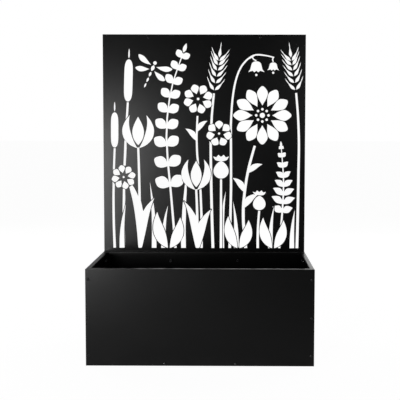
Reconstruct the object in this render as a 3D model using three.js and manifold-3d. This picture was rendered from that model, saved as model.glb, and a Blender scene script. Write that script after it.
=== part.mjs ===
// Wall planter: a folded sheet-steel trough with a tall pierced screen bolted up its rear wall.
// Millimetres, +Z up. The front faces -Y and the wall is behind, at +Y. The origin is on the floor,
// under the middle.

import * as THREE from 'three';
import { mergeVertices } from 'three/addons/utils/BufferGeometryUtils.js';
import Module from 'manifold-3d';

// ---- driving dimensions -------------------------------------------------------------------------

// the whole planter
const width = 600; // across the trough
const troughDepth = 240; // front face to rear face of the trough
const troughHeight = 257;
const screenRise = 643; // how far the screen stands above the trough's rim

// the sheet
const troughSheet = 1.2; // thickness of the trough's panels and tray
const screenSheet = 1.5; // thickness of the screen and the wall brackets
const bendRadius = 0.8; // inside radius of every fold
const coatGap = 0.1; // room that powder coat takes between two lapped faces
const mitreGap = 0.4; // slit between two folded edges that meet at a corner

// the folded edges
const rimWidth = 12; // rim that turns in around the trough's mouth
const rimLip = 8; // safe edge that turns down from the rim
const cornerFlange = 18; // upright flange of a side panel, behind the front or rear panel
const trayFlange = 14; // upturned edge of the tray
const screenStandOff = 10; // from the screen's face to the wall
const stiffenerThickness = 1.5; // strips welded on edge behind the screen's side and top edges
const screenInset = 1; // how much narrower than the trough the screen is, on each side
const screenLap = 50; // how far the screen reaches down behind the trough's rear panel

// the screws and nuts
const shankRadius = 2;
const shankLength = 8;
const headRadius = 3.8;
const headHeight = 2.2;
const nutAcrossFlats = 7;
const nutHeight = 3.2;
const holeClearance = 0.25; // between a screw and its hole, on the radius
const roundSides = 8; // facets of a screw, its nut's bore and its holes

// where the screws go
const cornerScrewInset = 7.7; // from the panel's upright edge
const cornerScrewEndInset = 27.5; // from the panel's top and bottom
const cornerScrewCount = 3;
const trayScrewHeight = 6; // above the floor
const trayScrewSpan = 186; // between the two at the front or at the rear
const traySideScrewSpan = 120; // between the two on a side
const screenScrewSpan = 200; // between the two screws in the middle of the screen's lap

// the wall brackets
const bracketSpan = 330; // between their middles
const bracketWidth = 20;
const bracketScrewDrop = 8.7; // from the top of the screen to the screw
const bracketFrontLeg = 15;
const bracketRearLeg = 24;
const bracketWallHoleRadius = 2.6;
const bracketWallHoleUp = 6; // from the rear leg's lower end

// drainage
const drainRadius = 5;
const drainColumns = 3;
const drainRows = 2;
const drainSpacing = 180; // along the trough
const drainRowSpacing = 100; // across it

// the pierced picture
const bridge = 2.2; // least strip of steel between two cut-outs of one flower
const pictureFoot = 10; // from the trough's rim to the cut-outs

// ---- sizes that follow --------------------------------------------------------------------------

const totalDepth = headHeight + coatGap + troughDepth + coatGap + screenStandOff;
const frontFace = -totalDepth / 2 + headHeight + coatGap;
const rearFace = frontFace + troughDepth;
const screenFace = rearFace + coatGap;
const troughMiddle = (frontFace + rearFace) / 2;
const screenTop = troughHeight + screenRise;
const screenFoot = troughHeight - screenLap;
const screenHalf = width / 2 - screenInset;
const holeRadius = shankRadius + holeClearance;
const troughFold = bendRadius + troughSheet; // outside radius of a fold in the trough's sheet

// ---- solids -------------------------------------------------------------------------------------

const wasm = await Module();
wasm.setup();

const at = (x, y) => new THREE.Vector2(x, y);

/** A closed three.js geometry as a solid that can be joined and cut. */
function solidOf(geometry) {
  const bare = geometry.clone();
  bare.deleteAttribute('normal');
  bare.deleteAttribute('uv');
  const welded = mergeVertices(bare, 1e-4);
  return new wasm.Manifold(new wasm.Mesh({
    numProp: 3,
    vertProperties: new Float32Array(welded.attributes.position.array),
    triVerts: new Uint32Array(welded.index.array),
  }));
}

/** A solid as three.js geometry again. */
function geometryOf(solid) {
  const mesh = solid.getMesh();
  const geometry = new THREE.BufferGeometry();
  geometry.setAttribute('position', new THREE.BufferAttribute(new Float32Array(mesh.vertProperties), 3));
  geometry.setIndex(new THREE.BufferAttribute(new Uint32Array(mesh.triVerts), 1));
  geometry.computeVertexNormals();
  return geometry;
}

const join = (solids) => solids.reduce((whole, next) => whole.add(next));
const cut = (solid, tools) => tools.reduce((rest, tool) => rest.subtract(tool), solid);

// For each axis of extrusion, where the outline's two coordinates and the length go.
const PRISM_AXES = {
  x: [[0, 1, 0], [0, 0, 1], [1, 0, 0]], // outline in (y, z)
  y: [[0, 0, 1], [1, 0, 0], [0, 1, 0]], // outline in (z, x)
  z: [[1, 0, 0], [0, 1, 0], [0, 0, 1]], // outline in (x, y)
};

/** An outline extruded along one axis, from one place on it to another. */
function prism(outline, axis, from, to) {
  const geometry = new THREE.ExtrudeGeometry(new THREE.Shape(outline), {
    depth: to - from,
    steps: 1,
    bevelEnabled: false,
    curveSegments: 1,
  });
  const basis = PRISM_AXES[axis].map((column) => new THREE.Vector3(...column));
  geometry.translate(0, 0, from);
  geometry.applyMatrix4(new THREE.Matrix4().makeBasis(...basis));
  return solidOf(geometry);
}

/** A block between two opposite corners. */
function block(low, high) {
  const outline = [at(low[0], low[1]), at(high[0], low[1]), at(high[0], high[1]), at(low[0], high[1])];
  return prism(outline, 'z', low[2], high[2]);
}

/** A round drill of the given radius through the point, along one axis. */
function drill(point, axis, radius, sides = roundSides) {
  const reach = 20;
  const places = { x: [1, 2, 0], y: [2, 0, 1], z: [0, 1, 2] }[axis];
  const [u, v, along] = places.map((place) => point[place]);
  return prism(circle(at(u, v), radius, sides), axis, along - reach, along + reach);
}

/** The corners of a regular polygon round a middle. */
function circle(middle, radius, sides, turn = 0.5) {
  return Array.from({ length: sides }, (_, side) => {
    const angle = ((side + turn) / sides) * Math.PI * 2;
    return at(middle.x + radius * Math.cos(angle), middle.y + radius * Math.sin(angle));
  });
}

/**
 * The outline of a folded sheet seen on edge. The face is the line of its outer side, and the metal
 * lies to the left of it. Each corner of the line becomes a fold of the usual inside radius.
 */
function foldedSection(face, thickness) {
  const foldSteps = 3;
  const outer = [];
  const inner = [];
  const leftOf = (direction) => at(-direction.y, direction.x);
  face.forEach((corner, index) => {
    const before = index > 0 ? corner.clone().sub(face[index - 1]).normalize() : null;
    const after = index < face.length - 1 ? face[index + 1].clone().sub(corner).normalize() : null;
    if (!before || !after) {
      outer.push(corner);
      inner.push(corner.clone().addScaledVector(leftOf(before ?? after), thickness));
      return;
    }
    const turn = Math.sign(before.cross(after)); // 1 where the sheet folds towards its metal side
    const radius = turn > 0 ? bendRadius + thickness : bendRadius;
    const angle = Math.acos(before.dot(after));
    const middle = corner.clone()
      .addScaledVector(before, -radius * Math.tan(angle / 2))
      .addScaledVector(leftOf(before), turn * radius);
    for (let step = 0; step <= foldSteps; step += 1) {
      const spoke = leftOf(before).multiplyScalar(-turn);
      spoke.rotateAround(at(0, 0), (turn * angle * step) / foldSteps);
      outer.push(middle.clone().addScaledVector(spoke, radius));
      inner.push(middle.clone().addScaledVector(spoke, radius - turn * thickness));
    }
  });
  return [...outer, ...inner.reverse()];
}

// ---- the trough's panels ------------------------------------------------------------------------
// Each wall is drawn with its outer face on y = 0 and its length along x, and is then turned into place.

/** A wall's section through its rim: up the face, in over the mouth, and down in a safe edge. */
function rimSection() {
  const face = [
    at(0, 0),
    at(0, troughHeight),
    at(rimWidth, troughHeight),
    at(rimWidth, troughHeight - rimLip),
  ];
  // The line runs up the outer face, so its metal has to be on the right: drawn the other way round.
  return foldedSection(face.reverse(), troughSheet);
}

/** What a mitre takes off a wall's rim at its left end, behind the wall's own sheet. */
function leftMitre(cornerX, sheetBack) {
  const slit = mitreGap / Math.SQRT2;
  const reach = rimWidth * 2;
  const outline = [
    at(cornerX - reach, sheetBack),
    at(cornerX + sheetBack + slit, sheetBack),
    at(cornerX + reach + slit, reach),
    at(cornerX - reach, reach),
  ];
  return prism(outline, 'z', troughHeight - rimLip * 2, troughHeight + 1);
}

const mirroredX = (solid) => solid.mirror([1, 0, 0]);

/** Heights of the screws along a corner. */
function cornerScrewHeights() {
  const pitch = (troughHeight - 2 * cornerScrewEndInset) / (cornerScrewCount - 1);
  return Array.from({ length: cornerScrewCount }, (_, index) => cornerScrewEndInset + index * pitch);
}

const cornerScrewX = width / 2 - cornerScrewInset;

/** Where the screws go through a long wall, as (x, z): down both corners, and two into the tray. */
function longWallScrews() {
  const spots = [];
  for (const side of [-1, 1]) {
    for (const height of cornerScrewHeights()) spots.push({ x: side * cornerScrewX, z: height, row: 'corner' });
    spots.push({ x: (side * trayScrewSpan) / 2, z: trayScrewHeight, row: 'tray' });
  }
  return spots;
}

/** The front or rear wall: a flat sheet across the whole width with its rim folded in. */
function longWall(moreHoles = []) {
  const sheet = prism(rimSection(), 'x', -width / 2, width / 2);
  const mitre = leftMitre(-width / 2, troughSheet);
  const holes = [...longWallScrews(), ...moreHoles].map((spot) => drill([spot.x, 0, spot.z], 'y', holeRadius));
  return cut(sheet, [mitre, mirroredX(mitre), ...holes]);
}

/** A side wall: it stands between the long walls, and its upright flanges lie behind them. */
function sideWall() {
  const lap = troughSheet + coatGap; // from a long wall's face to the side wall's flange
  const half = troughDepth / 2 - lap;
  const flangeFoot = troughSheet + coatGap; // clear of the tray's floor
  const flangeTop = troughHeight - rimLip - mitreGap;

  const sheet = prism(rimSection(), 'x', -half, half);
  const notch = block([-half - 1, -1, flangeFoot], [-half + troughFold, cornerFlange, flangeTop]);
  const channel = foldedSection([
    at(-half, cornerFlange),
    at(-half, 0),
    at(half, 0),
    at(half, cornerFlange),
  ], troughSheet);
  const mitre = leftMitre(-troughDepth / 2, 0);

  const flangeHoles = [-1, 1].flatMap((end) => cornerScrewHeights()
    .map((height) => drill([end * half, cornerScrewInset, height], 'x', holeRadius)));
  const trayHoles = [-1, 1].map((end) => {
    const spot = [(end * traySideScrewSpan) / 2, 0, trayScrewHeight];
    return drill(spot, 'y', holeRadius);
  });
  return cut(
    cut(sheet, [notch, mirroredX(notch), mitre, mirroredX(mitre)]).add(prism(channel, 'z', flangeFoot, flangeTop)),
    [...flangeHoles, ...trayHoles],
  );
}

/** The tray that closes the bottom: a floor with four upturned edges inside the walls. */
function tray() {
  const inside = troughSheet + coatGap; // from a wall's outer face to the tray's edge
  const halfX = width / 2 - inside;
  const halfY = troughDepth / 2 - inside;
  const cornerRoom = cornerFlange + mitreGap; // the upright flanges stand in the corners

  const across = foldedSection([
    at(trayFlange, halfX),
    at(0, halfX),
    at(0, -halfX),
    at(trayFlange, -halfX),
  ], troughSheet);
  const along = foldedSection([
    at(-halfY, trayFlange),
    at(-halfY, 0),
    at(halfY, 0),
    at(halfY, trayFlange),
  ], troughSheet);
  const sideEdges = prism(across, 'y', -halfY + troughFold + mitreGap, halfY - troughFold - mitreGap);
  const longEdges = prism(along, 'x', -halfX + cornerRoom, halfX - cornerRoom);
  const floor = block([-halfX, -halfY, 0], [halfX, halfY, troughSheet]);

  const holes = [];
  for (const side of [-1, 1]) {
    holes.push(drill([(side * trayScrewSpan) / 2, -halfY, trayScrewHeight], 'y', holeRadius));
    holes.push(drill([(side * trayScrewSpan) / 2, halfY, trayScrewHeight], 'y', holeRadius));
    holes.push(drill([-halfX, (side * traySideScrewSpan) / 2, trayScrewHeight], 'x', holeRadius));
    holes.push(drill([halfX, (side * traySideScrewSpan) / 2, trayScrewHeight], 'x', holeRadius));
  }
  const drainSides = 12;
  for (let column = 0; column < drainColumns; column += 1) {
    for (let row = 0; row < drainRows; row += 1) {
      const x = (column - (drainColumns - 1) / 2) * drainSpacing;
      const y = (row - (drainRows - 1) / 2) * drainRowSpacing;
      holes.push(drill([x, y, 0], 'z', drainRadius, drainSides));
    }
  }
  return cut(join([sideEdges, longEdges, floor]), holes);
}


// ---- the pierced picture ------------------------------------------------------------------------
// A plant is a list of cut-outs in (x, height), with height 0 at the foot of the picture. Plants are laid
// from the back to the front, and each one leaves a bridge of steel round itself in those behind it. So every
// cut-out stays in one piece without a loop, and no bit of the screen can fall out.

const ahead = (from, direction, length) => from.clone().addScaledVector(direction, length);
const turned = (direction, angle) => direction.clone().rotateAround(at(0, 0), angle);
const degrees = THREE.MathUtils.degToRad;
const mix = THREE.MathUtils.lerp;

/** A cut-out: its own edge, and the wider one that it clears in the plants behind it. */
const cutOut = (draw) => ({ edge: draw(0), halo: draw(bridge) });

/** A shape along a curve, reaching halfBreadth(t) to each side. Where that is nothing, it ends in a point. */
function stroke(curve, halfBreadth, steps, evenly = false) {
  return cutOut((grown) => {
    const left = [];
    const right = [];
    for (let step = 0; step <= steps; step += 1) {
      const t = evenly ? step / steps : (1 - Math.cos((Math.PI * step) / steps)) / 2;
      const along = curve.getTangent(t);
      const end = { 0: -1, [steps]: 1 }[step] ?? 0;
      const middle = ahead(curve.getPoint(t), along, end * grown);
      const side = turned(along, Math.PI / 2);
      const half = halfBreadth(t) + grown;
      left.push(ahead(middle, side, half));
      if (half > 1e-3) right.push(ahead(middle, side, -half));
    }
    return [...left, ...right.reverse()];
  });
}

/** A shape given by its corners round a middle, as multiples of a size. */
const figure = (middle, size, corners) => cutOut((grown) => (
  corners.map(([x, y]) => at(middle.x + x * (size + grown), middle.y + y * (size + grown)))
));

/** A round clearing, which cuts nothing but keeps the plants behind out of a flower. */
const clearing = (middle, radius) => ({ halo: circle(middle, radius + bridge, 20) });

const dot = (middle, radius, sides = 6) => cutOut((grown) => circle(middle, radius + grown, sides));

/** A curve between two points that bows to its left by a share of its length. */
function bowed(from, to, bow = 0) {
  const span = to.clone().sub(from);
  const middle = ahead(from.clone().lerp(to, 0.5), turned(span, Math.PI / 2), bow * 2);
  return new THREE.QuadraticBezierCurve(from, middle, to);
}

/** A leaf, pointed at both ends. */
const leaf = (from, to, breadth, bow = 0, steps = 5) => stroke(
  bowed(from, to, bow),
  (t) => (breadth / 2) * Math.sin(Math.PI * t ** 0.85),
  steps,
);

/** A petal, narrow where it starts and round at its tip. */
const petal = (from, to, breadth, bow = 0, steps = 5) => stroke(
  bowed(from, to, bow),
  (t) => (breadth / 2) * Math.sin(Math.PI * t ** 1.45) ** 0.75,
  steps,
);

/** A blade of grass, flat where it stands and pointed at the top. */
const grassBlade = (x, height, lean, breadth) => stroke(
  bowed(at(x, 0), at(x + lean, height), lean / height / 3),
  (t) => (breadth / 2) * (1 - t ** 1.8),
  4,
  true,
);

/** A stalk that thins from its foot to its top. */
const stalk = (curve, footBreadth, topBreadth, steps = 7) => stroke(
  curve,
  (t) => mix(footBreadth, topBreadth, t) / 2,
  steps,
  true,
);

/** An arching frond: a rib with paired leaflets that shorten towards the tip. */
function fern(route, pairs, leafletLength, leafletBreadth) {
  const rib = new THREE.SplineCurve(route);
  const plant = [stalk(rib, 7, 2.4, 9)];
  for (let pair = 0; pair < pairs; pair += 1) {
    const share = pair / (pairs - 1);
    const t = mix(0.36, 0.955, share);
    const length = 10 + leafletLength * (1 - share) ** 0.8 * Math.min(1, 0.66 + share * 2);
    for (const side of [-1, 1]) {
      const foot = rib.getPoint(t);
      const direction = turned(rib.getTangent(t), side * degrees(64 - 24 * share));
      const breadth = leafletBreadth * (1 - share * 0.4);
      plant.push(leaf(foot, ahead(foot, direction, length), breadth, -side * 0.07, 4));
    }
  }
  plant.push(leaf(rib.getPoint(0.97), ahead(rib.getPoint(1), rib.getTangent(1), 14), 7));
  return plant;
}

/** An ear of barley: two rows of grains up the end of a stalk, each grain running out into its awn. */
function barley(route, grainPairs) {
  const pitch = 21;
  const grainLength = 24;
  const awnLength = 22;
  const whole = grainLength + awnLength;
  const line = new THREE.SplineCurve(route);
  const earStart = 1 - (grainPairs * pitch) / line.getLength();
  const below = [0, 0.25, 0.5, 0.75, 1].map((share) => line.getPoint(share * earStart));
  const plant = [stalk(new THREE.SplineCurve(below), 8.4, 6, 6)];
  const grain = (t) => {
    const share = (t * whole) / grainLength;
    const swelling = share < 1 ? 4.7 * Math.sin(Math.PI * share) : 0;
    return Math.max(swelling, t > 0 && t < 1 ? 1.1 : 0);
  };
  for (let pair = 0; pair < grainPairs; pair += 1) {
    const t = mix(earStart, 1, (pair + 0.45) / grainPairs);
    const axis = line.getTangent(t);
    for (const side of [-1, 1]) {
      const foot = ahead(line.getPoint(t), turned(axis, (side * Math.PI) / 2), bridge * 0.6);
      const direction = turned(axis, side * degrees(34));
      plant.push(stroke(bowed(foot, ahead(foot, direction, whole), side * 0.05), grain, 5, true));
    }
  }
  const end = ahead(line.getPoint(1), line.getTangent(1), 4);
  plant.push(stroke(bowed(end, ahead(end, line.getTangent(1), whole)), grain, 5, true));
  return plant;
}

/** A tulip: a pointed middle petal between two that cup it, on a stalk with two broad leaves. */
function tulip(foot, height, lean, scale, leafReach = [0.8, 0.62]) {
  const top = at(foot.x + lean, height);
  const spot = (x, y) => at(top.x + x * scale, top.y + y * scale);
  const plant = [
    stalk(new THREE.QuadraticBezierCurve(foot, at(foot.x, height * 0.6), top), 8, 6.4, 6),
    leaf(spot(0, 5), spot(0, 63), 24 * scale, 0, 6),
  ];
  for (const [index, side] of [-1, 1].entries()) {
    const cup = new THREE.QuadraticBezierCurve(spot(side * 2, -1), spot(side * 38, 26), spot(side * 17, 66));
    plant.push(stroke(cup, (t) => 8.6 * scale * Math.sin(Math.PI * t ** 0.9), 7));
    const leafTip = at(foot.x + side * 30 * scale, height * leafReach[index]);
    plant.push(leaf(at(foot.x + side * 5, 0), leafTip, 19 * scale, side * 0.1, 7));
  }
  return plant;
}

// Half of a bell flower from its crown to its hem, to the right of its middle, as shares of its size.
const BELL_HALF = [
  [0.16, 0], [0.42, -0.14], [0.55, -0.5], [0.62, -0.8], [0.84, -1.08], [0.4, -0.94], [0.2, -1.1],
];
const BELL = [...BELL_HALF, [0, -0.94], ...BELL_HALF.map(([x, y]) => [-x, y]).reverse()];

/** Bell flowers hanging from an arching stalk, each with its clapper. */
function bellSpray(route, bells, size) {
  const line = new THREE.SplineCurve(route);
  const side = Math.sign(route.at(-1).x - route[0].x);
  const plant = [stalk(line, 7.6, 3.6, 11)];
  for (let index = 0; index < bells; index += 1) {
    const share = index / (bells - 1);
    const from = line.getPoint(mix(0.78, 0.985, share));
    const crown = at(from.x + side * 13 * (1 - share), from.y - 13);
    const bellSize = size * (1.15 - 0.3 * share);
    plant.push(stalk(bowed(from, crown, -side * 0.15), 3.6, 3.6, 2));
    plant.push(figure(at(crown.x, crown.y - bridge), bellSize, BELL));
    plant.push(dot(at(crown.x, crown.y - bridge * 2 - bellSize * 1.3), 3.4));
  }
  return plant;
}

/** A bulrush: a long velvety head with a spike above it. */
function bulrush(foot, headFoot, headLength, breadth) {
  const direction = headFoot.clone().sub(foot).normalize();
  const headTop = ahead(headFoot, direction, headLength);
  const spikeFoot = ahead(headTop, direction, bridge);
  return [
    stalk(bowed(foot, ahead(headFoot, direction, -bridge), 0.012), 7.6, 6, 4),
    stroke(bowed(headFoot, headTop), (t) => (breadth / 2) * (1 - Math.abs(2 * t - 1) ** 5) ** 0.5, 8),
    leaf(spikeFoot, ahead(spikeFoot, direction, 30), 5, 0, 3),
  ];
}

// The toothed crown of a poppy's seed head, as shares of its half breadth, round the middle of its foot.
const CROWN_HALF = [[0.62, 0], [1, 0.5], [0.58, 0.38], [0.34, 0.7]];
const POPPY_CROWN = [...CROWN_HALF, [0, 0.44], ...CROWN_HALF.map(([x, y]) => [-x, y]).reverse()];

/** A poppy's seed head: a round pod under its crown. */
function poppyHead(foot, height, lean, scale) {
  const top = at(foot.x + lean, height);
  const line = new THREE.QuadraticBezierCurve(foot, at(foot.x - lean * 0.3, height * 0.55), top);
  const podTop = at(top.x, top.y + 36 * scale);
  return [
    stalk(line, 7.4, 6, 6),
    stroke(
      bowed(at(top.x, top.y + bridge), podTop),
      (t) => 15 * scale * Math.sin(Math.PI * t ** 0.8) ** 0.6,
      8,
    ),
    figure(at(podTop.x, podTop.y + bridge), 16 * scale, POPPY_CROWN),
  ];
}

/** A flower seen from the front: a ring of petals round a dotted eye. */
function sunFlower(middle, radius, petals, seeds, turn = 0) {
  const eye = radius * 0.34;
  const breadth = (Math.PI * 2 * radius * 0.76) / petals - bridge;
  const plant = [clearing(middle, radius * 0.9), dot(middle, eye * 0.26)];
  for (let index = 0; index < petals; index += 1) {
    const direction = turned(at(0, 1), turn + (index / petals) * Math.PI * 2);
    plant.push(petal(ahead(middle, direction, eye), ahead(middle, direction, radius), breadth));
  }
  for (let index = 0; index < seeds; index += 1) {
    const direction = turned(at(0, 1), (index / seeds) * Math.PI * 2);
    plant.push(dot(ahead(middle, direction, eye * 0.62), eye * 0.13));
  }
  return plant;
}

/** A flower's stalk with leaves up it: each leaf is [where, degrees off the stalk, length]. */
function leafyStalk(route, breadth, leaves) {
  const line = new THREE.SplineCurve(route);
  const plant = [stalk(line, breadth, breadth * 0.75, 8)];
  for (const [t, angle, length] of leaves) {
    const foot = line.getPoint(t);
    const direction = turned(line.getTangent(t), degrees(angle));
    plant.push(leaf(foot, ahead(foot, direction, length), length * 0.33, -Math.sign(angle) * 0.12, 6));
  }
  return plant;
}

/** A branch with paired round leaves that grow smaller towards the tip. */
function roundLeafSpray(route, pairs, largest) {
  const line = new THREE.SplineCurve(route);
  const plant = [stalk(line, 7.4, 3, 10)];
  for (let pair = 0; pair < pairs; pair += 1) {
    const share = pair / (pairs - 1);
    const t = mix(0.3, 0.95, share);
    const length = largest * (1 - 0.45 * share);
    for (const side of [-1, 1]) {
      const direction = turned(line.getTangent(t), side * degrees(58 - 12 * share));
      const foot = ahead(line.getPoint(t), direction, 1);
      const halfBreadth = (along) => length * 0.38 * Math.sin(Math.PI * along ** 1.15) ** 0.7;
      plant.push(stroke(bowed(foot, ahead(foot, direction, length)), halfBreadth, 5));
    }
  }
  const tip = ahead(line.getPoint(1), line.getTangent(1), bridge);
  plant.push(leaf(tip, ahead(tip, line.getTangent(1), largest * 0.6), 11));
  return plant;
}

/** A dragonfly seen from above, flying in the direction given. */
function dragonfly(middle, angle, scale) {
  const fore = turned(at(0, 1), degrees(angle));
  const spot = (along) => ahead(middle, fore, along * scale);
  const plant = [dot(spot(16), 5 * scale, 8), leaf(spot(9), spot(-9), 10 * scale)];
  for (let part = 0; part < 3; part += 1) {
    const start = -9 - bridge - part * 17;
    plant.push(leaf(spot(start), spot(start - 14.5), (7 - part) * scale, 0, 4));
  }
  for (const side of [-1, 1]) {
    for (const [along, off, length] of [[5, 74, 46], [-3, 108, 40]]) {
      const direction = turned(fore, side * degrees(off));
      const foot = ahead(spot(along), direction, 8 * scale);
      plant.push(petal(foot, ahead(foot, direction, length * scale), 15 * scale, side * 0.05));
    }
  }
  return plant;
}

/** Leaves that rise from one foot: each is [how far aside, how high, how broad]. */
const tuft = (x, leaves) => leaves.map(([aside, height, breadth]) => (
  leaf(at(x + Math.sign(aside) * 3, 0), at(x + aside, height), breadth, -Math.sign(aside) * 0.1, 8)
));

/** Blades of grass, each a plant of its own: [where, how high, how far it leans, how broad]. */
const grass = (blades) => blades.map((blade) => [grassBlade(...blade)]);

/** The meadow, plant by plant from the back to the front. */
const meadow = () => [
  bulrush(at(-240, 0), at(-226, 436), 124, 25),
  bulrush(at(-268, 0), at(-266, 300), 104, 22),
  roundLeafSpray([at(-86, 0), at(-98, 150), at(-112, 330), at(-98, 470), at(-62, 578)], 9, 48),
  barley([at(26, 0), at(20, 220), at(22, 400), at(44, 562)], 6),
  barley([at(277, 0), at(280, 200), at(278, 400), at(256, 562)], 6),
  bellSpray([at(76, 0), at(80, 200), at(80, 400), at(100, 520), at(146, 572), at(206, 566)], 2, 25),
  leafyStalk([at(-8, 0), at(-10, 150), at(-22, 300), at(-20, 394)], 7, [[0.72, 42, 50], [0.8, -42, 46]]),
  sunFlower(at(-18, 444), 44, 8, 0, 0.3),
  leafyStalk([at(124, 0), at(116, 110), at(128, 220), at(150, 306)], 9, [
    [0.36, -44, 62], [0.5, 46, 56], [0.68, -48, 52],
  ]),
  sunFlower(at(172, 396), 86, 12, 8),
  fern([at(224, 0), at(232, 100), at(236, 200), at(228, 306)], 8, 36, 22),
  ...grass([
    [-246, 132, 12, 15], [-150, 200, -12, 14], [-122, 128, 14, 14], [-62, 250, 14, 14], [52, 170, 12, 15],
    [96, 140, -10, 14], [198, 126, 10, 14], [262, 116, 8, 14],
  ]),
  poppyHead(at(50, 0), 206, 0, 1.5),
  poppyHead(at(160, 0), 112, 4, 1.25),
  sunFlower(at(44, 342), 38, 7, 0),
  tulip(at(-192, 0), 300, -4, 1.45, [0.72, 0.5]),
  tulip(at(-20, 0), 176, -4, 1.35, [0.8, 0.66]),
  sunFlower(at(-240, 212), 36, 8, 0, 0.2),
  tuft(-106, [[-34, 108, 34], [34, 92, 32]]),
  tuft(102, [[-30, 96, 30], [30, 84, 32]]),
  tuft(206, [[-30, 92, 30], [30, 84, 30]]),
  dragonfly(at(-152, 534), -24, 1.05),
];

/** The steel that the meadow takes out of the screen, as a solid where the screen's face stands. */
function pictureTool() {
  const foot = troughHeight + pictureFoot;
  const through = (outlines) => join(outlines.map((outline) => prism(
    outline.map((point) => at(point.y + foot, point.x)),
    'y',
    -screenSheet,
    screenSheet * 2,
  )));
  return meadow().reduce((picture, plant) => {
    const edges = through(plant.filter((part) => part.edge).map((part) => part.edge));
    return picture ? picture.subtract(through(plant.map((part) => part.halo))).add(edges) : edges;
  }, null);
}

// ---- the screen and its brackets ----------------------------------------------------------------
// Both are drawn with the screen's front face on y = 0.

const screenScrewHeight = cornerScrewHeights().at(-1);

/** Where the screen is screwed to the trough: through both upper corners, and twice between them. */
const screenScrewXs = [-cornerScrewX, -screenScrewSpan / 2, screenScrewSpan / 2, cornerScrewX];

function screenPanel() {
  const sheet = block([-screenHalf, 0, screenFoot], [screenHalf, screenSheet, screenTop]);
  const lapHoles = screenScrewXs.map((x) => drill([x, 0, screenScrewHeight], 'y', holeRadius));
  const bracketHoles = [-1, 1].map((side) => {
    const spot = [(side * bracketSpan) / 2, 0, screenTop - bracketScrewDrop];
    return drill(spot, 'y', holeRadius);
  });
  return cut(sheet, [pictureTool(), ...lapHoles, ...bracketHoles]);
}

/** A strip that stands on edge between the screen and the wall, given by its reach in x and z. */
const stiffener = (fromX, toX, fromZ, toZ) => block(
  [fromX, screenSheet + coatGap, fromZ],
  [toX, screenStandOff, toZ],
);

const sideStiffener = () => stiffener(-stiffenerThickness / 2, stiffenerThickness / 2, screenFoot, screenTop);

function topStiffener() {
  const reach = screenHalf - stiffenerThickness - coatGap;
  return stiffener(-reach, reach, screenTop - stiffenerThickness, screenTop);
}

/** A bracket under the screen's top stiffener, screwed to the screen and to the wall behind it. */
function wallBracket() {
  const front = screenSheet + coatGap;
  const top = screenTop - stiffenerThickness - coatGap;
  const section = foldedSection([
    at(screenStandOff, top - bracketRearLeg),
    at(screenStandOff, top),
    at(front, top),
    at(front, top - bracketFrontLeg),
  ], screenSheet);
  const strap = prism(section, 'x', -bracketWidth / 2, bracketWidth / 2);
  const wallHole = circle(at(top - bracketRearLeg + bracketWallHoleUp, 0), bracketWallHoleRadius, roundSides);
  const screwHole = circle(at(screenTop - bracketScrewDrop, 0), holeRadius, roundSides);
  const betweenLegs = (front + screenStandOff) / 2; // each drill goes through one leg only
  return cut(strap, [
    prism(wallHole, 'y', betweenLegs, screenStandOff * 2),
    prism(screwHole, 'y', 0, betweenLegs),
  ]);
}

// ---- screws and nuts ----------------------------------------------------------------------------
// Both are drawn along y, with the face that the screw's head bears on at y = 0 and the shank going to +y.

function screwGeometry() {
  const profile = [
    at(0, -headHeight),
    at(headRadius * 0.62, -headHeight * 0.86),
    at(headRadius, -headHeight * 0.22),
    at(headRadius, 0),
    at(shankRadius, 0),
    at(shankRadius, shankLength),
    at(0, shankLength),
  ];
  return new THREE.LatheGeometry(profile, roundSides);
}

function nutGeometry() {
  const shape = new THREE.Shape(circle(at(0, 0), nutAcrossFlats / Math.sqrt(3), 6));
  shape.holes.push(new THREE.Path(circle(at(0, 0), holeRadius, roundSides)));
  const geometry = new THREE.ExtrudeGeometry(shape, { depth: nutHeight, steps: 1, bevelEnabled: false });
  geometry.rotateX(-Math.PI / 2);
  return geometry;
}

// ---- the planter --------------------------------------------------------------------------------

const blackPowderCoat = { color: 0x141414, roughness: 0.42, metalness: 0.1 };
const blackenedSteel = { color: 0x1c1c1d, roughness: 0.35, metalness: 0.8 };
const zincPlate = { color: 0xb4b7ba, roughness: 0.35, metalness: 1 };

function piece(name, geometry, finish) {
  const mesh = new THREE.Mesh(geometry, new THREE.MeshStandardMaterial(finish));
  mesh.name = name;
  return mesh;
}

const planter = new THREE.Group();

/** Puts a piece into the planter, turned about the upright axis by quarter turns. */
function place(mesh, x, y, z, quarterTurns = 0) {
  mesh.position.set(x, y, z);
  mesh.rotation.z = (quarterTurns * Math.PI) / 2;
  planter.add(mesh);
}

const screw = screwGeometry();
const nut = nutGeometry();

/** A screw and its nut. The place is on the outer face, and grip is the thickness of the sheets between them. */
function fix(name, x, y, z, quarterTurns, grip) {
  const inward = turned(at(0, 1), (quarterTurns * Math.PI) / 2);
  const head = ahead(at(x, y), inward, -coatGap);
  const seat = ahead(at(x, y), inward, grip + coatGap);
  place(piece(`${name}_screw`, screw, blackenedSteel), head.x, head.y, z, quarterTurns);
  place(piece(`${name}_nut`, nut, zincPlate), seat.x, seat.y, z, quarterTurns);
}

const twoSheets = troughSheet * 2 + coatGap;
const screenOnTrough = screenSheet + coatGap + troughSheet;
const screenOnCorner = screenOnTrough + coatGap + troughSheet;
const FRONT = 0;
const RIGHT = 1;
const REAR = 2;
const LEFT = -1;

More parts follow.
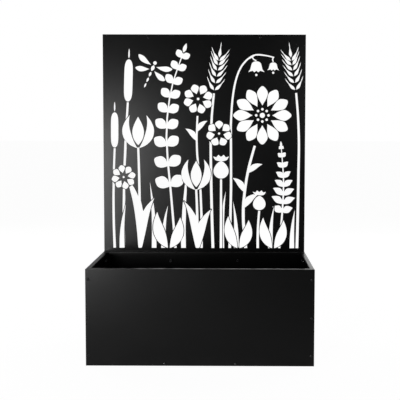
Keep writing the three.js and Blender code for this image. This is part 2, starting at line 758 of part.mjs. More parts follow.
const screenMiddleHoles = [-1, 1].map((side) => ({ x: (side * screenScrewSpan) / 2, z: screenScrewHeight }));
place(piece('front_panel', geometryOf(longWall()), blackPowderCoat), 0, frontFace, 0, FRONT);
place(piece('rear_panel', geometryOf(longWall(screenMiddleHoles)), blackPowderCoat), 0, rearFace, 0, REAR);
const sideGeometry = geometryOf(sideWall());
place(piece('left_side_panel', sideGeometry, blackPowderCoat), -width / 2, troughMiddle, 0, LEFT);
place(piece('right_side_panel', sideGeometry, blackPowderCoat), width / 2, troughMiddle, 0, RIGHT);
place(piece('base_tray', geometryOf(tray()), blackPowderCoat), 0, troughMiddle, 0);
place(piece('screen_panel', geometryOf(screenPanel()), blackPowderCoat), 0, screenFace, 0);
place(piece('screen_top_stiffener', geometryOf(topStiffener()), blackPowderCoat), 0, screenFace, 0);
const sideStiffenerGeometry = geometryOf(sideStiffener());
const bracketGeometry = geometryOf(wallBracket());
for (const [side, name] of [[-1, 'left'], [1, 'right']]) {
  const x = (side * bracketSpan) / 2;
  const edgeX = side * (screenHalf - stiffenerThickness / 2);
  place(piece(`screen_${name}_stiffener`, sideStiffenerGeometry, blackPowderCoat), edgeX, screenFace, 0);
  place(piece(`${name}_wall_bracket`, bracketGeometry, blackPowderCoat), x, screenFace, 0);
  fix(`${name}_bracket`, x, screenFace, screenTop - bracketScrewDrop, FRONT, screenSheet * 2 + coatGap);
}

for (const [side, name] of [[-1, 'left'], [1, 'right']]) {
  cornerScrewHeights().forEach((height, index) => {
    const x = side * cornerScrewX;
    const throughScreen = height === screenScrewHeight;
    fix(`front_${name}_${index + 1}`, x, frontFace, height, FRONT, twoSheets);
    if (throughScreen) fix(`screen_${name}_corner`, x, screenFace + screenSheet, height, REAR, screenOnCorner);
    else fix(`rear_${name}_${index + 1}`, x, rearFace, height, REAR, twoSheets);
  });
  const trayX = (side * trayScrewSpan) / 2;
  fix(`front_tray_${name}`, trayX, frontFace, trayScrewHeight, FRONT, twoSheets);
  fix(`rear_tray_${name}`, trayX, rearFace, trayScrewHeight, REAR, twoSheets);
  const middleX = (side * screenScrewSpan) / 2;
  fix(`screen_${name}_middle`, middleX, screenFace + screenSheet, screenScrewHeight, REAR, screenOnTrough);
  for (const [end, endName] of [[-1, 'front'], [1, 'rear']]) {
    const y = troughMiddle + (end * traySideScrewSpan) / 2;
    fix(`${name}_tray_${endName}`, (side * width) / 2, y, trayScrewHeight, side < 0 ? LEFT : RIGHT, twoSheets);
  }
}

export default planter;
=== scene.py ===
# %% [markdown]
# # A steel wall planter in satin black powder coat
#
# The planter is a folded sheet-steel trough with a tall pierced screen bolted up its rear wall.
# Its solid pieces come ready-made and exactly placed. This lesson gives them their finish: soft
# folded edges, a smooth outline to the cut picture, real screws and nuts, and the powder coat.
# Before that it sets up the camera, the lamps and the white studio.

# %% Load the planter
import math

import bmesh
import bpy
from mathutils import Matrix, Vector


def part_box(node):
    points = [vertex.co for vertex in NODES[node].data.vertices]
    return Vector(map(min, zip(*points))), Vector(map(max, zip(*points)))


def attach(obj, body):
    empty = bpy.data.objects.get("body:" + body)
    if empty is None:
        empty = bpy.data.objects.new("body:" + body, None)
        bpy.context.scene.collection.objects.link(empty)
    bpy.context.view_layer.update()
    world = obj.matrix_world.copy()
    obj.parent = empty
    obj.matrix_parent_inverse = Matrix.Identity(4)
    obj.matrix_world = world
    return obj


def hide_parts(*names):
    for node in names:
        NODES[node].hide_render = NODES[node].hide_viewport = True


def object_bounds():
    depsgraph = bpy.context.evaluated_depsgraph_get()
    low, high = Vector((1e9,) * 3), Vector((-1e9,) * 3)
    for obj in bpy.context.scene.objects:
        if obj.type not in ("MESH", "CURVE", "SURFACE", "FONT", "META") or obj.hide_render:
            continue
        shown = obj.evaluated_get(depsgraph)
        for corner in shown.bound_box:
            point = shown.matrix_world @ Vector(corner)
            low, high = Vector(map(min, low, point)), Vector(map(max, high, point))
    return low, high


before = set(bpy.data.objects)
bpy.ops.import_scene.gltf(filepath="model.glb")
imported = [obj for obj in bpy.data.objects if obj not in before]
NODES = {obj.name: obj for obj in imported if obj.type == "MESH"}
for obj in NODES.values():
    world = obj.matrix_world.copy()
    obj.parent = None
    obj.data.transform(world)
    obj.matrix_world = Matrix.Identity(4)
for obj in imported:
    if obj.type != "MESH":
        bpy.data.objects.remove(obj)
SOLID_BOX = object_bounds()
LOW, HIGH = (Vector(corner) for corner in SOLID_BOX)
MM = 0.001
print("pieces:", len(NODES), "box in mm:", [round(side / MM, 1) for side in HIGH - LOW])

# %% [markdown]
# ## The camera
#
# The photograph was taken from 1.6 m in front of the trough, a little right of the middle and a
# little above the middle of the screen. From there the rear rim looks 0.87 times as long as the
# front one, and a lens of 56 mm on the usual 36 mm sensor makes the planter as large as it is in
# the picture. The camera looks almost level. A small shift of the lens brings the planter to the
# middle of the picture without tilting the camera further, so upright edges stay nearly upright.

# %% Set up the camera
EYE = Vector((0.0885, -1.7429, 0.6234))
PITCH, YAW, ROLL = math.radians(-2.92), math.radians(0.24), math.radians(0.12)
LENS_MM, SENSOR_MM = 56.43, 36.0
SHIFT_X, SHIFT_Y = -0.0785, -0.0983

lens = bpy.data.cameras.new("studio lens")
lens.lens = LENS_MM
lens.sensor_width = SENSOR_MM
lens.shift_x = SHIFT_X
lens.shift_y = SHIFT_Y
camera = bpy.data.objects.new("studio camera", lens)
bpy.context.scene.collection.objects.link(camera)
camera.matrix_world = (
    Matrix.Translation(EYE)
    @ Matrix.Rotation(YAW, 4, "Z")
    @ Matrix.Rotation(math.pi / 2 + PITCH, 4, "X")
    @ Matrix.Rotation(ROLL, 4, "Z")
)
bpy.context.scene.camera = camera
print("camera at", [round(c, 3) for c in EYE], "m")

# %% [markdown]
# ## The lamps
#
# A black object shows almost nothing but reflections, so the lamps do the drawing. Two soft boxes
# stand at the left. The upper one is mirrored in the left half of the screen, and the low one in
# the trough's face. Both reflections fade to the right, because a satin coat spreads them. Two
# weak boxes, at the right and overhead, keep the far side and the inside from going quite black.
# One more stands behind and brightens the rims. Two large ones at the rear corners aren't seen in
# any face that looks forward, and show the back to whoever walks round the planter.

# %% Hang the lamps
AIM = Vector((0.0, 0.0, 0.45))


def soft_box(name, place, size, power):
    """A rectangular lamp aimed at the planter and out of the camera's sight, in metres and watts."""
    light = bpy.data.lights.new(name, "AREA")
    light.shape = "RECTANGLE"
    light.size, light.size_y = size
    light.energy = power
    lamp = bpy.data.objects.new(name, light)
    bpy.context.scene.collection.objects.link(lamp)
    lamp.location = place
    lamp.visible_camera = False
    lamp.rotation_euler = (AIM - Vector(place)).to_track_quat("-Z", "Y").to_euler()


soft_box("low soft box", (-0.98, -1.75, 0.11), (0.3, 0.2), 5.0)
soft_box("upper soft box", (-0.71, -1.75, 0.52), (0.42, 0.4), 4.1)
soft_box("right fill", (0.62, -1.75, 0.85), (0.3, 0.5), 0.4)
soft_box("overhead fill", (0.0, -0.3, 2.4), (1.4, 1.0), 0.8)
soft_box("rear soft box", (0.3, 2.0, 0.8), (1.6, 1.0), 2.4)
for side, where in ((-1, "left"), (1, "right")):
    soft_box("rear corner box at the " + where, (2.0 * side, 1.3, 0.8), (1.2, 1.4), 9.0)
print("lamps:", len(bpy.data.lights))

# %% [markdown]
# ## Node helpers
#
# A material is a small network of nodes. Written out node by node and link by link it gets long
# and hard to follow. These helpers add a node and feed its sockets in one step, so that the
# networks below read like recipes.

# %% Helpers for node networks
def node(tree, kind, inputs=None, **settings):
    """Adds a node. `inputs` feeds its sockets, by name or number, with plain values or outputs."""
    made = tree.nodes.new(kind)
    for key, value in settings.items():
        setattr(made, key, value)
    for key, value in (inputs or {}).items():
        if isinstance(value, bpy.types.NodeSocket):
            tree.links.new(value, made.inputs[key])
        else:
            made.inputs[key].default_value = value
    return made


def calculate(tree, operation, *values, clamp=False):
    """The result of one Math node."""
    inputs = dict(enumerate(values))
    return node(tree, "ShaderNodeMath", inputs, operation=operation, use_clamp=clamp).outputs[0]


def ramp(tree, value, start, end, low=0.0, high=1.0):
    """Goes from `low` to `high` while the value goes from `start` to `end`, and stays there."""
    inputs = {"Value": value, "From Min": start, "From Max": end, "To Min": low, "To Max": high}
    return node(tree, "ShaderNodeMapRange", inputs).outputs[0]


def noise(tree, scale, detail, roughness=0.5):
    """A cloudy pattern that is fixed to the object, with about `scale` clouds to the metre."""
    place = node(tree, "ShaderNodeTexCoord").outputs["Object"]
    inputs = {"Vector": place, "Scale": scale, "Detail": detail, "Roughness": roughness}
    return node(tree, "ShaderNodeTexNoise", inputs).outputs["Fac"]


def new_material(name):
    """A material, its network and its Principled shader, ready to be fed."""
    material = bpy.data.materials.new(name)
    material.use_nodes = True
    return material, material.node_tree, material.node_tree.nodes["Principled BSDF"]


print("node helpers:", [helper.__name__ for helper in (node, calculate, ramp, noise, new_material)])

# %% [markdown]
# ## The floor and the white studio
#
# The photograph's background is pure white. Turning the lamps up would wash out the planter, so
# the floor and the world are white where the camera looks straight at them, and the floor keeps a
# trace of the planter's shadow.
#
# Reflections see the studio as it is lit. The backdrop behind the planter is white, brighter at
# the right, and the rims round the trough's mouth mirror it, because they face up and are seen at
# a low angle. The room behind the camera is dark, so the front stays black. The floor has a painted
# glow that only reflections see, a pool of white close to the planter, and it paints a reflection
# in the lowest edge of the trough.

# %% Sort the rays
def studio_rays(tree, in_reflections):
    """How much of the white a ray sees: all of it from the camera, a share in reflections."""
    ray = node(tree, "ShaderNodeLightPath").outputs
    straight = calculate(tree, "MAXIMUM", ray["Is Camera Ray"], ray["Is Transmission Ray"])
    mirrored = calculate(tree, "MULTIPLY", ray["Is Glossy Ray"], in_reflections)
    return calculate(tree, "MAXIMUM", straight, mirrored)


print("camera rays see white, mirrored rays a share of it")

# %% Make the floor
FLOOR_REACH = 30.0
PAPER_TONE, PAPER_ROUGHNESS = 0.75, 0.9
GLOW_OF_PAPER = 0.97
SHADOW_KEPT = 0.2
# The strength of the painted glow that mirrored rays see on the floor near the planter.
PAINTED_GLOW_IN_REFLECTIONS = 0.14
# Where the painted glow on the floor starts to fade and where it ends, in metres from the planter's
# middle.
PAINTED_GLOW_FADE = 0.15, 0.85


def painted_glow_near_the_planter(tree):
    """A painted glow that reflections see on the floor, fading out within a metre of the planter."""
    place = node(tree, "ShaderNodeTexCoord").outputs["Object"]
    distance = node(tree, "ShaderNodeVectorMath", {0: place}, operation="LENGTH").outputs["Value"]
    return ramp(tree, distance, *PAINTED_GLOW_FADE, PAINTED_GLOW_IN_REFLECTIONS, 0.0)


def studio_paper():
    """White paper that glows for the camera. A share of its lit tone is added and keeps the shadow."""
    material, tree, paper = new_material("white studio paper")
    paper.inputs["Base Color"].default_value = (PAPER_TONE, PAPER_TONE, PAPER_TONE, 1.0)
    paper.inputs["Roughness"].default_value = PAPER_ROUGHNESS
    lit = paper.outputs[0]
    glow = node(tree, "ShaderNodeEmission", {"Strength": GLOW_OF_PAPER}).outputs[0]
    # A Mix Shader whose second side is left empty mixes with black.
    faint = node(tree, "ShaderNodeMixShader", {0: 1.0 - SHADOW_KEPT, 1: lit}).outputs[0]
    white = node(tree, "ShaderNodeAddShader", {0: glow, 1: faint}).outputs[0]
    # Mirrored rays see a painted glow on the floor near the planter, which no lamp casts.
    rays = studio_rays(tree, painted_glow_near_the_planter(tree))
    mix = node(tree, "ShaderNodeMixShader", {0: rays, 1: lit, 2: white}).outputs[0]
    tree.links.new(mix, tree.nodes["Material Output"].inputs["Surface"])
    return material


def make_floor():
    """A large level sheet of studio paper, at the height that the planter stands on."""
    mesh = bpy.data.meshes.new("studio floor")
    corners = [(x * FLOOR_REACH, y * FLOOR_REACH, 0) for x, y in ((-1, -1), (1, -1), (1, 1), (-1, 1))]
    mesh.from_pydata(corners, [], [(0, 1, 2, 3)])
    mesh.materials.append(studio_paper())
    floor = bpy.data.objects.new("studio_floor", mesh)
    floor.location.z = LOW.z
    bpy.context.scene.collection.objects.link(floor)
    print("floor:", 2 * FLOOR_REACH, "m across")


make_floor()

# %% Make the world
ROOM_TONE, ROOM_STRENGTH = (0.9, 0.95, 1.0, 1.0), 0.02
# How far a ray points to the back and to the right, where the white begins and where it is full.
BACKWARD, RIGHTWARD = (0.0, 0.4), (-0.25, 0.12)
DARK_SHARE, LEFT_SHARE = 0.02, 0.3


def lit_backdrop(tree):
    """The share of white in each direction: high towards the backdrop and to the right, else low."""
    place = node(tree, "ShaderNodeTexCoord").outputs["Generated"]
    direction = node(tree, "ShaderNodeSeparateXYZ", {0: place}).outputs
    behind = ramp(tree, direction["Y"], *BACKWARD, low=DARK_SHARE)
    to_the_right = ramp(tree, direction["X"], *RIGHTWARD, low=LEFT_SHARE)
    return calculate(tree, "MULTIPLY", behind, to_the_right)


def make_world():
    """The dark room, and the lit backdrop for the camera and for what the planter mirrors."""
    world = bpy.data.worlds.new("studio")
    bpy.context.scene.world = world
    world.use_nodes = True
    tree = world.node_tree
    room = tree.nodes["Background"]
    room.inputs["Color"].default_value = ROOM_TONE
    room.inputs["Strength"].default_value = ROOM_STRENGTH
    white = node(tree, "ShaderNodeBackground", {"Color": (1, 1, 1, 1), "Strength": 1.0})
    rays = studio_rays(tree, lit_backdrop(tree))
    mix = node(tree, "ShaderNodeMixShader", {0: rays, 1: room.outputs[0], 2: white.outputs[0]})
    tree.links.new(mix.outputs[0], tree.nodes["World Output"].inputs["Surface"])
    print("world:", world.name)


make_world()
bpy.context.scene.view_settings.view_transform = "Standard"

# %% [markdown]
# ## Shared effects
#
# Powder coat is sprayed as dry dust and melted in an oven. It never flows quite flat, so its
# gloss is broken by a faint orange-peel ripple and by cloudy patches that are a little duller.
# Indoors it picks up a thin film of dust. Each effect is one node group. A finish places the
# group in its own network and sets the strength, so the screws can share the ripple of the coat.

# %% Helpers for node groups
def new_group(name, inputs, outputs):
    """A group's network, its given sockets and its result. Inputs have a default, outputs don't."""
    tree = bpy.data.node_groups.new(name, "ShaderNodeTree")
    for label, default in inputs.items():
        socket = tree.interface.new_socket(label, in_out="INPUT", socket_type="NodeSocketFloat")
        socket.default_value = default
    for label in outputs:
        tree.interface.new_socket(label, in_out="OUTPUT", socket_type="NodeSocketFloat")
    return tree, node(tree, "NodeGroupInput").outputs, node(tree, "NodeGroupOutput").inputs


def use_group(tree, group, **values):
    """Places a group in a material's network with its own values, and gives its outputs."""
    made = node(tree, "ShaderNodeGroup", node_tree=group)
    for key, value in values.items():
        made.inputs[key.replace("_", " ").capitalize()].default_value = value
    return made.outputs


print("group helpers:", new_group.__name__, use_group.__name__)

# %% Group: orange peel
def orange_peel_group():
    """A fine ripple of a given size in millimetres, and a cloudy shift of the roughness."""
    tree, given, result = new_group(
        "orange peel", {"Size": 2.2, "Unevenness": 0.05}, ["Height", "Roughness shift"]
    )
    ripples_per_metre = calculate(tree, "DIVIDE", 1.0 / MM, given["Size"])
    ripple = noise(tree, ripples_per_metre, detail=2.0, roughness=0.45)
    tree.links.new(ripple, result["Height"])
    cloud = noise(tree, 9.0, detail=4.0, roughness=0.6)
    centred = calculate(tree, "SUBTRACT", cloud, 0.5)
    shift = calculate(tree, "MULTIPLY", centred, given["Unevenness"])
    tree.links.new(shift, result["Roughness shift"])
    return tree


ORANGE_PEEL = orange_peel_group()
print("group:", ORANGE_PEEL.name)

# %% Group: settled dust
FACING_UP, PATCH_EDGES = (0.3, 1.0), (0.35, 0.75)
LOW_DOWN_TO, LOW_DOWN_SHARE = 0.03, 0.35


def settled_dust_group():
    """Dust lies where a surface faces up, in patches, and a little clings low down near the floor."""
    tree, given, result = new_group("settled dust", {"Amount": 0.3, "Patch size": 60.0}, ["Mask"])
    shape = node(tree, "ShaderNodeNewGeometry").outputs
    facing = node(tree, "ShaderNodeSeparateXYZ", {0: shape["Normal"]}).outputs
    upward = ramp(tree, facing["Z"], *FACING_UP)
    place = node(tree, "ShaderNodeSeparateXYZ", {0: shape["Position"]}).outputs
    low_down = ramp(tree, place["Z"], 0.0, LOW_DOWN_TO, LOW_DOWN_SHARE, 0.0)
    where = calculate(tree, "MAXIMUM", upward, low_down)
    patches_per_metre = calculate(tree, "DIVIDE", 1.0 / MM, given["Patch size"])
    patches = noise(tree, patches_per_metre, detail=6.0, roughness=0.7)
    broken = calculate(tree, "MULTIPLY", where, ramp(tree, patches, *PATCH_EDGES))
    mask = calculate(tree, "MULTIPLY", broken, given["Amount"], clamp=True)
    tree.links.new(mask, result["Mask"])
    return tree


SETTLED_DUST = settled_dust_group()
print("group:", SETTLED_DUST.name)

# %% [markdown]
# ## The powder coat
#
# A black coat sends back less than one per cent of the light as colour. Its gloss is what we
# see, so the roughness matters most: at 0.3 a soft box's reflection spreads over half the screen.
# A plain dark colour would do from far off. Close up, the ripple bends the highlights and the
# dust greys what faces up, as on a coat that has stood in a room.

# %% Make the powder coat
COAT_TONE, COAT_ROUGHNESS = (0.0035, 0.0035, 0.0037, 1.0), 0.3
DUST_TONE, DUST_ROUGHNESS = (0.16, 0.15, 0.14, 1.0), 0.4


def powder_coat(name):
    """Black paint whose gloss ripples, and which is greyer and duller where dust lies."""
    material, tree, coat = new_material(name)
    peel = use_group(tree, ORANGE_PEEL, unevenness=0.07)
    dust = use_group(tree, SETTLED_DUST, amount=0.22)
    tones = {"A": COAT_TONE, "B": DUST_TONE, "Factor": dust["Mask"]}
    colour = node(tree, "ShaderNodeMix", tones, data_type="RGBA").outputs["Result"]
    tree.links.new(colour, coat.inputs["Base Color"])
    uneven = calculate(tree, "ADD", peel["Roughness shift"], COAT_ROUGHNESS)
    dusty = calculate(tree, "MULTIPLY_ADD", dust["Mask"], DUST_ROUGHNESS, uneven, clamp=True)
    tree.links.new(dusty, coat.inputs["Roughness"])
    ripple = {"Strength": 0.5, "Distance": 0.05 * MM, "Height": peel["Height"]}
    tree.links.new(node(tree, "ShaderNodeBump", ripple).outputs[0], coat.inputs["Normal"])
    return material


COAT = powder_coat("satin black powder coat")
print("coat:", COAT.name)

# %% [markdown]
# ## Metal of the screws and nuts
#
# The screws are blackened steel, a little lighter and shinier than the coat round them. The nuts
# are zinc plated: pale and bright, with the cloudy grain of the plating bath. Both are the same
# network with other colours. A noise mixes two tones and shifts the roughness, because an even
# metal would look like plastic.

# %% Make the two metals
GRAINS_PER_METRE, GRAIN_RANGE = 700.0, (0.3, 0.7)
SHINIEST, DULLEST = 0.8, 1.25


def plated_metal(name, light, dark, roughness, metallic):
    """Metal in two tones, with a fine ripple. It is shinier where it is lighter."""
    material, tree, metal = new_material(name)
    grain = noise(tree, GRAINS_PER_METRE, detail=5.0)
    tones = {"A": (*light, 1.0), "B": (*dark, 1.0), "Factor": grain}
    colour = node(tree, "ShaderNodeMix", tones, data_type="RGBA").outputs["Result"]
    tree.links.new(colour, metal.inputs["Base Color"])
    rough = ramp(tree, grain, *GRAIN_RANGE, roughness * SHINIEST, roughness * DULLEST)
    tree.links.new(rough, metal.inputs["Roughness"])
    peel = use_group(tree, ORANGE_PEEL, size=0.5)
    ripple = {"Strength": 0.3, "Distance": 0.02 * MM, "Height": peel["Height"]}
    tree.links.new(node(tree, "ShaderNodeBump", ripple).outputs[0], metal.inputs["Normal"])
    metal.inputs["Metallic"].default_value = metallic
    return material


BLACK_STEEL = plated_metal("blackened screw steel", (0.13, 0.13, 0.135), (0.06, 0.06, 0.062), 0.27, 0.9)
ZINC = plated_metal("bright zinc plate", (0.66, 0.67, 0.69), (0.5, 0.51, 0.54), 0.3, 1.0)
print("metals:", BLACK_STEEL.name, "and", ZINC.name)

# %% [markdown]
# ## Soft edges on the folded sheet
#
# A folded or sheared edge is never razor sharp, least of all under powder coat. A Bevel modifier
# rounds every edge by 0.3 mm, which is what catches the light along the rim. The brackets get
# 0.2 mm, because their small holes lie close to a fold. The solids arrive as loose triangles, so a
# Weld modifier joins them first, and a Decimate modifier then makes one face of each flat side.

# %% Dress the sheet pieces
SHEETS = [
    "front_panel", "rear_panel", "left_side_panel", "right_side_panel", "base_tray",
    "left_wall_bracket", "right_wall_bracket",
    "screen_top_stiffener", "screen_left_stiffener", "screen_right_stiffener",
]
EDGE_RADIUS, BRACKET_EDGE_RADIUS = 0.3 * MM, 0.2 * MM
EDGE_STEPS = 3
SAME_CORNER = 0.002 * MM
FLAT_WITHIN, EDGE_FROM = math.radians(0.5), math.radians(20)


def soften(sheet, radius):
    """Joins the loose triangles, rounds the edges and shades across them smoothly."""
    weld = sheet.modifiers.new("weld", "WELD")
    weld.merge_threshold = SAME_CORNER
    flat = sheet.modifiers.new("flat faces", "DECIMATE")
    flat.decimate_type = "DISSOLVE"
    flat.angle_limit = FLAT_WITHIN
    bevel = sheet.modifiers.new("soft edges", "BEVEL")
    bevel.width = radius
    bevel.segments = EDGE_STEPS
    bevel.limit_method = "ANGLE"
    bevel.angle_limit = EDGE_FROM
    for face in sheet.data.polygons:
        face.use_smooth = True
    sheet.modifiers.new("even shading", "WEIGHTED_NORMAL")


for name in SHEETS:
    sheet = NODES[name]
    sheet.data.materials.clear()
    sheet.data.materials.append(COAT)
    soften(sheet, BRACKET_EDGE_RADIUS if "bracket" in name else EDGE_RADIUS)
print("sheet pieces dressed:", len(SHEETS))

# %% [markdown]
# ## The pierced screen
#
# The cut picture in the solid is made of short straight lines. The real one is cut along smooth
# curves. A Subdivision modifier would round its tips and shrink its narrow bars. So this step
# reads the outline of every hole from the solid's front face, draws it again as a curve through
# the same corners, and lets Blender fill and thicken the curve. Corners that belong to a round
# line become smooth, and tips and notches stay sharp.

# %% Read the outlines of the holes
ON_THE_FRONT = 0.01 * MM


def front_loops(solid):
    """The closed outlines of a flat solid's front face, each a list of (x, z)."""
    mesh = bmesh.new()
    mesh.from_mesh(solid.data)
    bmesh.ops.remove_doubles(mesh, verts=mesh.verts, dist=SAME_CORNER)
    front = min(v.co.y for v in mesh.verts)
    faces = [f for f in mesh.faces if all(abs(v.co.y - front) < ON_THE_FRONT for v in f.verts)]
    in_front = set(faces)
    after = {}
    # An edge between two front faces lies inside the sheet, and any other edge on an outline. The
    # faces are taken in the mesh's own order, so the outlines come out the same in every run.
    for face in faces:
        for loop in face.loops:
            if not in_front.issuperset(loop.edge.link_faces):
                after.setdefault(loop.vert.index, []).append(loop.link_loop_next.vert.index)
    points = {v.index: Vector((v.co.x, v.co.z)) for v in mesh.verts}
    mesh.free()
    outlines = []
    while after:
        here = next(iter(after))
        outline = []
        while here in after:
            following = after[here].pop()
            if not after[here]:
                del after[here]
            outline.append(points[here])
            here = following
        outlines.append(outline)
    return outlines


outlines = front_loops(NODES["screen_panel"])
print("outlines in the screen:", len(outlines), "with", sum(map(len, outlines)), "corners")

# %% Tell round lines from corners
GENTLE_TURN, SHARPEST_ROUND_TURN = 16, 70
LIKE_ITS_NEIGHBOUR = 0.35


def turns_of(outline):
    """By how many degrees the outline turns at each of its corners, to the left if positive."""
    turns = []
    for index, here in enumerate(outline):
        before = (here - outline[index - 1]).normalized()
        after = (outline[(index + 1) % len(outline)] - here).normalized()
        across = before.x * after.y - before.y * after.x
        turns.append(math.degrees(math.atan2(across, before.dot(after))))
    return turns


def is_smooth(turns, index):
    """A corner lies on a round line if it turns little, or about as much as a neighbour does."""
    turn = turns[index]
    if abs(turn) < GENTLE_TURN:
        return True
    neighbours = turns[index - 1], turns[(index + 1) % len(turns)]
    alike = any(other * turn > 0 and abs(other) > LIKE_ITS_NEIGHBOUR * abs(turn) for other in neighbours)
    return abs(turn) < SHARPEST_ROUND_TURN and alike


round_corners = 0
for turns in map(turns_of, outlines):
    round_corners += sum(is_smooth(turns, index) for index in range(len(turns)))
print("corners on round lines:", round_corners)

# %% Draw the outlines as smooth curves
CURVE_STEPS = 4


def smooth_spline(curve, outline):
    """Adds a closed spline through the corners, with handles along the line where it is smooth."""
    count = len(outline)
    turns = turns_of(outline)
    spline = curve.splines.new("BEZIER")
    spline.bezier_points.add(count - 1)
    spline.use_cyclic_u = True
    spline.resolution_u = CURVE_STEPS
    for index, corner in enumerate(outline):
        before, after = outline[index - 1], outline[(index + 1) % count]
        point = spline.bezier_points[index]
        point.co = (corner.x, corner.y, 0)
        point.handle_left_type = point.handle_right_type = "FREE"
        back, forth = (before - corner) / 3, (after - corner) / 3
        if is_smooth(turns, index):
            along = (after - before).normalized()
            back, forth = along * -back.length, along * forth.length
        point.handle_left = (*(corner + back), 0)
        point.handle_right = (*(corner + forth), 0)


def sheet_drawing(name, outlines, thickness, edge):
    """A flat curve, filled between its outlines, thickened, and rounded at every edge."""
    curve = bpy.data.curves.new(name, "CURVE")
    curve.dimensions = "2D"
    curve.fill_mode = "BOTH"
    for outline in outlines:
        smooth_spline(curve, outline)
    curve.extrude = thickness / 2 - edge
    curve.bevel_depth = edge
    curve.bevel_resolution = 1
    curve.offset = -edge
    return curve


screen_low, screen_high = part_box("screen_panel")
SCREEN_EDGE_RADIUS = 0.18 * MM
drawing = sheet_drawing("pierced_screen", outlines, screen_high.y - screen_low.y, SCREEN_EDGE_RADIUS)
print("drawn with", len(drawing.splines), "splines")

# %% Turn the drawing into the screen's mesh
SEAM = 0.001 * MM
FLAT_FACE = 0.999


def close_seams(mesh):
    """Joins the filled faces to the rounded edges, and keeps the flat faces flat in shading."""
    solid = bmesh.new()
    solid.from_mesh(mesh)
    bmesh.ops.remove_doubles(solid, verts=solid.verts, dist=SEAM)
    bmesh.ops.dissolve_degenerate(solid, dist=SEAM, edges=solid.edges)
    # The sheet is closed, so a face with an open edge is a sliver that the fill left over.
    slivers = {edge.link_faces[0] for edge in solid.edges if len(edge.link_faces) == 1}
    bmesh.ops.delete(solid, geom=list(slivers), context="FACES")
    for face in solid.faces:
        face.smooth = abs(face.normal.y) < FLAT_FACE
    solid.to_mesh(mesh)
    solid.free()


def cut_sheet(curve, middle_y):
    """The drawing as a mesh, stood upright at a depth."""
    drawn = bpy.data.objects.new(curve.name + "_drawing", curve)
    bpy.context.scene.collection.objects.link(drawn)
    upright = Matrix.Rotation(math.pi / 2, 4, "X")
    drawn.matrix_world = Matrix.Translation((0, middle_y, 0)) @ upright
    bpy.context.view_layer.update()
    seen = drawn.evaluated_get(bpy.context.evaluated_depsgraph_get())
    mesh = bpy.data.meshes.new_from_object(seen)
    mesh.transform(drawn.matrix_world)
    bpy.data.objects.remove(drawn)
    close_seams(mesh)
    sheet = bpy.data.objects.new(curve.name, mesh)
    bpy.context.scene.collection.objects.link(sheet)
    return sheet


screen = cut_sheet(drawing, (screen_low.y + screen_high.y) / 2)
screen.data.materials.append(COAT)
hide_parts("screen_panel")
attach(screen, "root")
print("screen:", len(screen.data.polygons), "faces")

# %% [markdown]
# ## Screws and nuts
#
# The fixings are M4 button-head screws: a low dome with a hexagonal socket, and a thread of
# 0.7 mm pitch. A picture of a socket would do from far off, but the heads are bare to the eye and
# to the light, so they are modelled. A screw is a turned part: it starts as a half outline that
# is spun round its axis. Its thread is a stack of rings, which looks like the real spiral at this
# size. One screw and one nut are modelled, and every other one shares their mesh.

# %% Model one button-head screw
HEAD_RADIUS, HEAD_HEIGHT = 3.8 * MM, 2.2 * MM
HEAD_FOOT = 0.97 * HEAD_RADIUS
# The head's edge stands straight for a share of its height, below the dome.
RIM_SHARE = 0.1
DOME_ANGLES = (24, 36, 48, 60, 72, 84, 90)
SHANK_RADIUS, SHANK_LENGTH = 2.0 * MM, 8.0 * MM
THREAD_PITCH, THREAD_ROOT, TIP_RADIUS = 0.7 * MM, 0.84 * SHANK_RADIUS, 0.8 * SHANK_RADIUS
SOCKET_RADIUS, SOCKET_DEPTH, SOCKET_CHAMFER = 1.44 * MM, 1.3 * MM, 0.2 * MM
SCREW_STEPS = 24


def hexagon(to_the_flats, angle):
    """How far a hexagon's outline is from its middle in a direction."""
    return to_the_flats / math.cos(angle % (math.pi / 3) - math.pi / 6)


def spun(name, outline, steps):
    """A solid of revolution about z. The outline runs from the top of the axis to its bottom."""
    mesh = bmesh.new()
    line = [mesh.verts.new((radius, 0, height)) for radius, height in outline]
    edges = [mesh.edges.new(pair) for pair in zip(line, line[1:])]
    bmesh.ops.spin(mesh, geom=line + edges, axis=(0, 0, 1), cent=(0, 0, 0), steps=steps, angle=math.tau)
    bmesh.ops.remove_doubles(mesh, verts=mesh.verts, dist=SEAM)
    bmesh.ops.recalc_face_normals(mesh, faces=mesh.faces)
    data = bpy.data.meshes.new(name)
    mesh.to_mesh(data)
    mesh.free()
    return data


def screw_outline():
    """Half a screw's section. The head's seat is at height 0, its dome above and its shank below."""
    dome_height = 1 - RIM_SHARE
    dome = [
        (HEAD_RADIUS * math.sin(angle), HEAD_HEIGHT * (RIM_SHARE + dome_height * math.cos(angle)))
        for angle in map(math.radians, DOME_ANGLES)
    ]
    top = dome[0][1]
    bottom = top - SOCKET_DEPTH
    socket = [(0, bottom), (SOCKET_RADIUS, bottom + SOCKET_CHAMFER), (SOCKET_RADIUS, top)]
    outline = socket + dome + [(HEAD_FOOT, 0), (SHANK_RADIUS, 0)]
    for ridge in range(1, int(SHANK_LENGTH / THREAD_PITCH)):
        height = -ridge * THREAD_PITCH
        outline += [(THREAD_ROOT, height + THREAD_PITCH * 0.5), (SHANK_RADIUS, height)]
    return outline + [(TIP_RADIUS, -SHANK_LENGTH), (0, -SHANK_LENGTH)]


def press_socket(data):
    """Makes the socket's round wall hexagonal, with the hexagon's corners where the wall was."""
    for corner in data.vertices:
        on_its_wall = SOCKET_RADIUS * 0.5 < corner.co.xy.length < SOCKET_RADIUS * 1.01
        if on_its_wall and corner.co.z > 0:
            angle = math.atan2(corner.co.y, corner.co.x)
            corner.co.xy = corner.co.xy * hexagon(math.cos(math.pi / 6), angle)


SCREW = spun("button-head screw", screw_outline(), SCREW_STEPS)
press_socket(SCREW)
SCREW.materials.append(BLACK_STEEL)
for face in SCREW.polygons:
    face.use_smooth = True
print("screw:", len(SCREW.polygons), "faces")

# %% Model one nut
NUT_FLATS, NUT_HEIGHT = 7.0 * MM, 3.2 * MM
NUT_CORNERS = NUT_FLATS / math.cos(math.pi / 6)
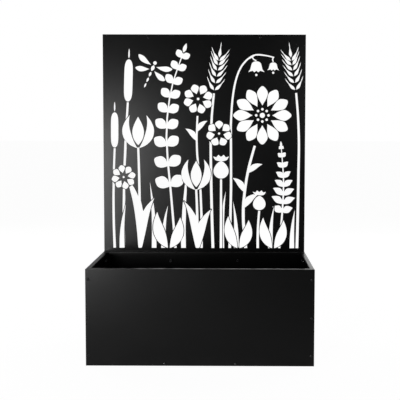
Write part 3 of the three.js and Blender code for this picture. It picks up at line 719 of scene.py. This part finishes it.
# The turned face is a little narrower than the nut is across its corners.
NUT_FACE = 0.9306 * NUT_CORNERS / 2
NUT_BORE = SHANK_RADIUS + 0.02 * MM
NUT_STEPS = 48


def nut_ring(mesh, radius, height):
    """A ring of corners that is round, or hexagonal where the bar's flats cut into it."""
    ring = []
    for step in range(NUT_STEPS):
        angle = math.tau * step / NUT_STEPS
        reach = min(radius, hexagon(NUT_FLATS / 2, angle))
        ring.append(mesh.verts.new((reach * math.cos(angle), reach * math.sin(angle), height)))
    return ring


def nut_mesh():
    """A slice of hexagonal bar, turned at both ends so that its corners are rounded off."""
    outline = [
        (NUT_BORE, 0.25), (NUT_FACE, 0.0), (NUT_CORNERS / 2, 0.12),
        (NUT_CORNERS / 2, 0.88), (NUT_FACE, 1.0), (NUT_BORE, 0.75),
    ]
    mesh = bmesh.new()
    rings = [nut_ring(mesh, radius, share * NUT_HEIGHT) for radius, share in outline]
    for inner, outer in zip(rings, rings[1:] + rings[:1]):
        for step in range(NUT_STEPS):
            following = (step + 1) % NUT_STEPS
            mesh.faces.new((inner[step], inner[following], outer[following], outer[step]))
    bmesh.ops.recalc_face_normals(mesh, faces=mesh.faces)
    data = bpy.data.meshes.new("nut")
    mesh.to_mesh(data)
    mesh.free()
    return data


NUT = nut_mesh()
NUT.materials.append(ZINC)
print("nut:", len(NUT.polygons), "faces")

# %% Put them in place
HEAD_SIDES = {
    "front": (0, -1, 0), "rear": (0, 1, 0), "screen": (0, 1, 0), "left": (-1, 0, 0), "right": (1, 0, 0),
}
TURN_BETWEEN_SCREWS, TURN_OF_NUTS = 0.7, math.pi / 6


def outward(name):
    """Which way a fixing's head points, from its name."""
    if "bracket" in name:
        return Vector(HEAD_SIDES["front"])
    return Vector(HEAD_SIDES[name.split("_")[0]])


def stand_in(name, mesh, slot, turn):
    """Puts a shared mesh where a solid screw or nut is, with its own turn about its axis."""
    low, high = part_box(name)
    out = outward(name)
    middle = (low + high) / 2
    reach = (high - low).dot(Vector([abs(c) for c in out])) / 2
    # A screw is placed by its head's seat, and a nut by its far face.
    place = middle + out * (reach - HEAD_HEIGHT) if slot == "black_screw" else middle - out * reach
    piece = bpy.data.objects.new("fine_" + name, mesh)
    bpy.context.scene.collection.objects.link(piece)
    facing = out.to_track_quat("Z", "Y").to_matrix().to_4x4()
    piece.matrix_world = Matrix.Translation(place) @ facing @ Matrix.Rotation(turn, 4, "Z")
    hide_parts(name)
    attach(piece, "root")


fixings = [name for name in sorted(NODES) if name.endswith(("_screw", "_nut"))]
for index, name in enumerate(fixings):
    if name.endswith("_screw"):
        stand_in(name, SCREW, "black_screw", index * TURN_BETWEEN_SCREWS)
    else:
        stand_in(name, NUT, "zinc_nut", TURN_OF_NUTS)
print("fixings in place:", len(fixings))
